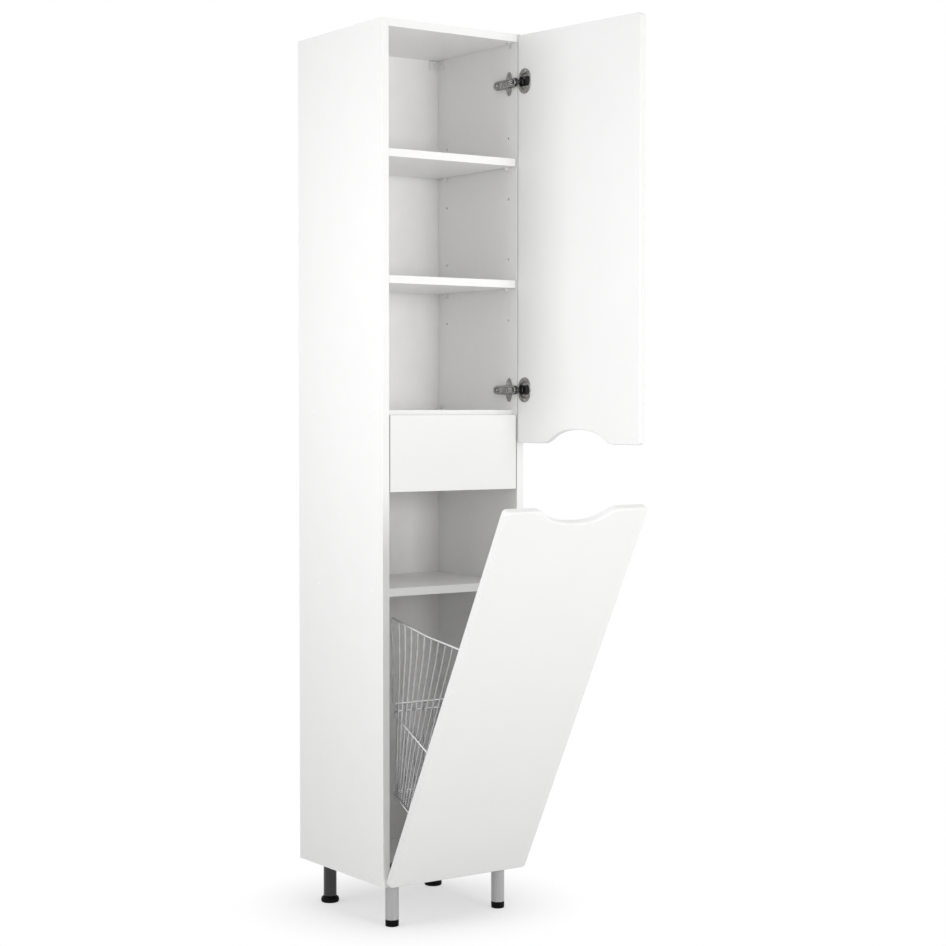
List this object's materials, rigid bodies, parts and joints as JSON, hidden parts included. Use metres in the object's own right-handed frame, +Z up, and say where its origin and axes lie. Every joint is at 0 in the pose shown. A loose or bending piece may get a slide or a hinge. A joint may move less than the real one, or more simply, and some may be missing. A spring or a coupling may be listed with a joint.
{
  "type": "tall column cabinet with tilt-out laundry basket",
  "caption": "Tall narrow white column cabinet on levelling legs: side-hung upper door over shelves, flush drawer, niche and a tilt-out lower door that carries a wire laundry basket.",
  "frame": {"origin": "on the floor under the middle of the carcass, half way across its width and its depth", "axes": "+Z up, +X to the right as seen from the front, -Y towards the person who stands in front"},
  "size_m": [0.3974, 0.7528, 1.84],
  "materials": {
    "white_board": "white melamine on chipboard",
    "white_front": "white film on fibreboard, satin",
    "white_hardboard": "white lacquered hardboard",
    "chrome_wire": "bright plated wire",
    "nickel": "nickel plated",
    "runner_steel": "powder coated",
    "zinc_steel": "zinc plated",
    "leg_tube": "satin grey metal",
    "black_plastic": "matte black",
    "white_plastic": "white plastic"
  },
  "bodies": {
    "carcass": {"left_side": "white_board", "right_side": "white_board", "top_panel": "white_board", "bottom_panel": "white_board", "back_panel": "white_hardboard", "divider_panel": "white_board", "niche_shelf": "white_board", "upper_shelf": "white_board", "lower_shelf": "white_board", "shelf_pegs": "white_plastic", "carcass_screws": "zinc_steel", "screw_caps": "white_plastic", "corner_angles": "zinc_steel", "wall_bracket_left": "white_plastic", "wall_bracket_right": "white_plastic", "runner_channel_left": "runner_steel", "runner_channel_right": "runner_steel", "hinge_plates": "nickel", "hinge_plate_screws": "zinc_steel", "leg_plates": "zinc_steel", "leg_screws": "zinc_steel", "leg_inserts": "black_plastic", "door_hinge_top_arm": "nickel", "door_hinge_bottom_arm": "nickel", "hamper_hinge_left_arm": "nickel", "hamper_hinge_right_arm": "nickel", "leg_front_left": "leg_tube", "leg_front_right": "leg_tube", "leg_rear_left": "leg_tube", "leg_rear_right": "leg_tube"},
    "upper_door_leaf": {"upper_door": "white_front", "door_cup_screws": "nickel", "door_hinge_top_cup": "nickel", "door_hinge_top_pin": "nickel", "door_hinge_bottom_cup": "nickel", "door_hinge_bottom_pin": "nickel"},
    "drawer": {"drawer_front": "white_front", "drawer_side_left": "white_board", "drawer_side_right": "white_board", "drawer_back": "white_board", "drawer_bottom": "white_hardboard", "runner_bar_left": "runner_steel", "runner_bar_right": "runner_steel"},
    "hamper": {"hamper_door": "white_front", "hamper_cup_screws": "nickel", "basket_left": "chrome_wire", "basket_right": "chrome_wire", "basket_back": "chrome_wire", "basket_front": "chrome_wire", "basket_bottom": "chrome_wire", "basket_clips": "white_plastic", "hamper_hinge_left_cup": "nickel", "hamper_hinge_left_pin": "nickel", "hamper_hinge_right_cup": "nickel", "hamper_hinge_right_pin": "nickel"},
    "foot_front_left_screw": {"foot_front_left": "black_plastic"},
    "foot_front_right_screw": {"foot_front_right": "black_plastic"},
    "foot_rear_left_screw": {"foot_rear_left": "black_plastic"},
    "foot_rear_right_screw": {"foot_rear_right": "black_plastic"}
  },
  "joints": [
    {"name": "upper_door_swing", "type": "hinge", "parent": "carcass", "child": "upper_door_leaf", "pos_m": [0.166, -0.177, 1.41], "axis": [0, 0, 1], "range_deg": [-98, 0]},
    {"name": "drawer_slide", "type": "slide", "parent": "carcass", "child": "drawer", "axis": [0, -1, 0], "range_m": [0, 0.19]},
    {"name": "hamper_tilt", "type": "hinge", "parent": "carcass", "child": "hamper", "pos_m": [0, -0.177, 0.1], "axis": [1, 0, 0], "range_deg": [-27.5, 0]},
    {"name": "foot_front_left_turn", "type": "hinge", "parent": "carcass", "child": "foot_front_left_screw", "pos_m": [-0.133, -0.1345, 0.03], "axis": [0, 0, 1], "continuous": true},
    {"name": "foot_front_right_turn", "type": "hinge", "parent": "carcass", "child": "foot_front_right_screw", "pos_m": [0.133, -0.1345, 0.03], "axis": [0, 0, 1], "continuous": true},
    {"name": "foot_rear_left_turn", "type": "hinge", "parent": "carcass", "child": "foot_rear_left_screw", "pos_m": [-0.133, 0.1125, 0.03], "axis": [0, 0, 1], "continuous": true},
    {"name": "foot_rear_right_turn", "type": "hinge", "parent": "carcass", "child": "foot_rear_right_screw", "pos_m": [0.133, 0.1125, 0.03], "axis": [0, 0, 1], "continuous": true}
  ]
}
